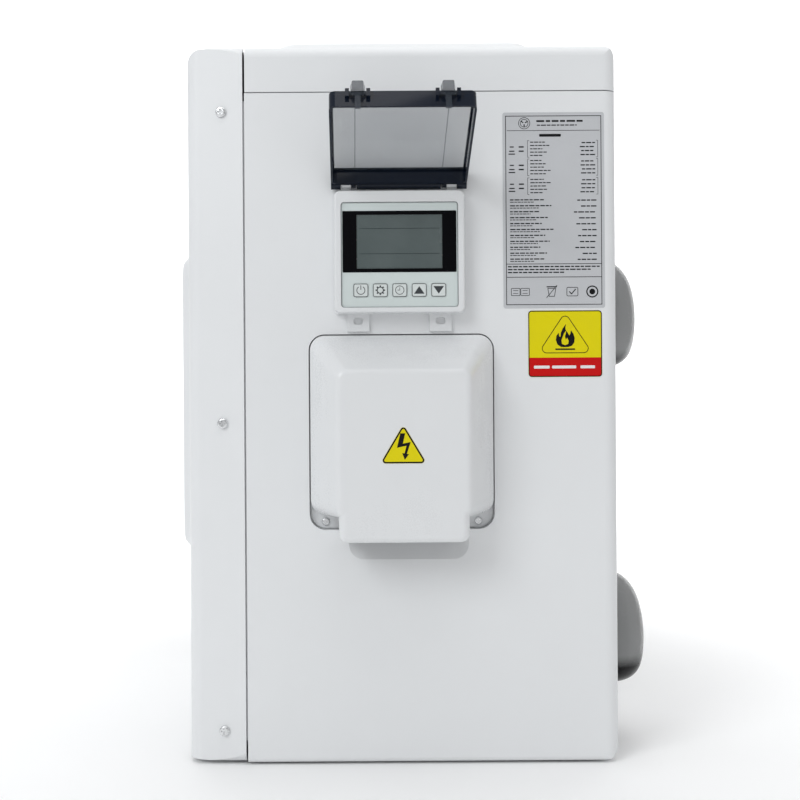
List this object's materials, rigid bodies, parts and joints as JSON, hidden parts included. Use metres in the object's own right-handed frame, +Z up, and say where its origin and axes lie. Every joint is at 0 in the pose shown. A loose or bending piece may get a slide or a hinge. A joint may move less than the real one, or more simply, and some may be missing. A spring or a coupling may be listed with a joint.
{
  "type": "pool and spa heat pump",
  "caption": "Wide white pool heat pump with a fan grille in front, a smoked flip-up window over its controller, a wiring cover and rear water ports.",
  "frame": {"origin": "centre of the four anchor holes, on the ground under the two foot rails", "axes": "+X along the length to the serviced end with the controller, -Y to the fan side, +Y to the water ports, +Z up"},
  "size_m": [1.0042, 0.4045, 0.604],
  "materials": {
    "white_abs": "fine-textured white ABS, slightly glossy",
    "white_smooth": "smooth moulded white ABS",
    "facia": "pale green-grey moulded facia",
    "smoked": "smoked transparent polycarbonate",
    "smoked_latch": "smoked moulded latch",
    "hood_grey": "translucent grey polycarbonate",
    "black_plastic": "moulded black plastic",
    "bezel_black": "gloss black bezel",
    "lcd": "unlit dark green-grey display",
    "key_cap": "moulded key caps",
    "circuit_board": "green glass-fibre board",
    "label_silver": "printed silver label",
    "label_yellow": "printed yellow label",
    "zinc": "bright zinc-plated steel",
    "galvanised": "galvanised sheet steel",
    "coated_wire": "light grey powder coat",
    "grille_grey": "dark grey moulded grille",
    "copper": "copper tube, dulled",
    "brass": "brass",
    "fin_aluminium": "blue-coated aluminium fins",
    "titanium": "titanium tube",
    "black_steel": "black enamelled steel",
    "motor_grey": "grey enamelled steel",
    "fan_plastic": "glass-filled black plastic",
    "rubber": "moulded black rubber",
    "grey_pvc": "grey PVC",
    "rail_rubber": "dense black rubber"
  },
  "bodies": {
    "casing": {"accumulator": "black_steel", "base_tray": "galvanised", "board_tray": "galvanised", "cable_glands": "black_plastic", "casing_screws": "zinc", "compressor": "black_steel", "compressor_bolts": "zinc", "compressor_grommets": "rubber", "control_frame": "white_abs", "control_module": "facia", "display_bezel": "bezel_black", "evaporator_ends": "copper", "evaporator_fins": "fin_aluminium", "exchanger_cap": "grey_pvc", "exchanger_shell": "grey_pvc", "expansion_valve": "brass", "fan_grille": "grille_grey", "fan_motor": "motor_grey", "fan_shroud": "black_plastic", "foot_rails": "rail_rubber", "front_panel": "white_abs", "front_panel_screws": "zinc", "gas_label": "label_yellow", "gas_pipes": "copper", "gland_bracket": "galvanised", "hinge_pins": "zinc", "keypad_board": "circuit_board", "lcd_panel": "lcd", "left_end_panel": "white_abs", "lid": "white_abs", "liquid_pipe": "copper", "main_board": "circuit_board", "motor_bracket": "galvanised", "partition_panel": "galvanised", "port_bezels": "black_plastic", "rating_label": "label_silver", "rear_guard": "coated_wire", "reversing_valve": "brass", "right_end_panel": "white_abs", "shock_label": "label_yellow", "small_screws": "zinc", "socket_seals": "rubber", "terminal_block": "black_plastic", "terminal_screws": "brass", "titanium_coil": "titanium", "water_inlet_socket": "grey_pvc", "water_outlet_socket": "grey_pvc", "wiring_cover": "white_smooth"},
    "window": {"control_window": "smoked"},
    "latch_left": {"window_latch_left": "smoked_latch"},
    "latch_right": {"window_latch_right": "smoked_latch"},
    "power_button": {"power_key": "key_cap"},
    "mode_button": {"mode_key": "key_cap"},
    "timer_button": {"timer_key": "key_cap"},
    "up_button": {"up_key": "key_cap"},
    "down_button": {"down_key": "key_cap"},
    "hood_inlet": {"inlet_hood": "hood_grey"},
    "hood_outlet": {"outlet_hood": "hood_grey"},
    "fan": {"fan_rotor": "fan_plastic", "fan_shaft": "zinc"}
  },
  "joints": [
    {"name": "window_hinge", "type": "hinge", "parent": "casing", "child": "window", "pos_m": [0.451, -0.00235, 0.4786], "axis": [0, -1, 0], "range_deg": [-114, 10]},
    {"name": "latch_left_flex", "type": "hinge", "parent": "window", "child": "latch_left", "pos_m": [0.54865, -0.03635, 0.53193], "axis": [0, -1, 0], "range_deg": [0, 5], "stiffness_Nm_per_rad": 0.05},
    {"name": "latch_right_flex", "type": "hinge", "parent": "window", "child": "latch_right", "pos_m": [0.54865, 0.03165, 0.53193], "axis": [0, -1, 0], "range_deg": [0, 5], "stiffness_Nm_per_rad": 0.05},
    {"name": "power_press", "type": "slide", "parent": "casing", "child": "power_button", "axis": [-1, 0, 0], "range_m": [0, 0.0006], "stiffness_N_per_m": 800},
    {"name": "mode_press", "type": "slide", "parent": "casing", "child": "mode_button", "axis": [-1, 0, 0], "range_m": [0, 0.0006], "stiffness_N_per_m": 800},
    {"name": "timer_press", "type": "slide", "parent": "casing", "child": "timer_button", "axis": [-1, 0, 0], "range_m": [0, 0.0006], "stiffness_N_per_m": 800},
    {"name": "up_press", "type": "slide", "parent": "casing", "child": "up_button", "axis": [-1, 0, 0], "range_m": [0, 0.0006], "stiffness_N_per_m": 800},
    {"name": "down_press", "type": "slide", "parent": "casing", "child": "down_button", "axis": [-1, 0, 0], "range_m": [0, 0.0006], "stiffness_N_per_m": 800},
    {"name": "inlet_hood_hinge", "type": "hinge", "parent": "casing", "child": "hood_inlet", "pos_m": [0.353, 0.186, 0.1523], "axis": [1, 0, 0], "range_deg": [0, 100]},
    {"name": "outlet_hood_hinge", "type": "hinge", "parent": "casing", "child": "hood_outlet", "pos_m": [0.325, 0.186, 0.4335], "axis": [1, 0, 0], "range_deg": [0, 100]},
    {"name": "fan_spin", "type": "hinge", "parent": "casing", "child": "fan", "pos_m": [-0.135, -0.14, 0.3], "axis": [0, 1, 0], "continuous": true}
  ]
}
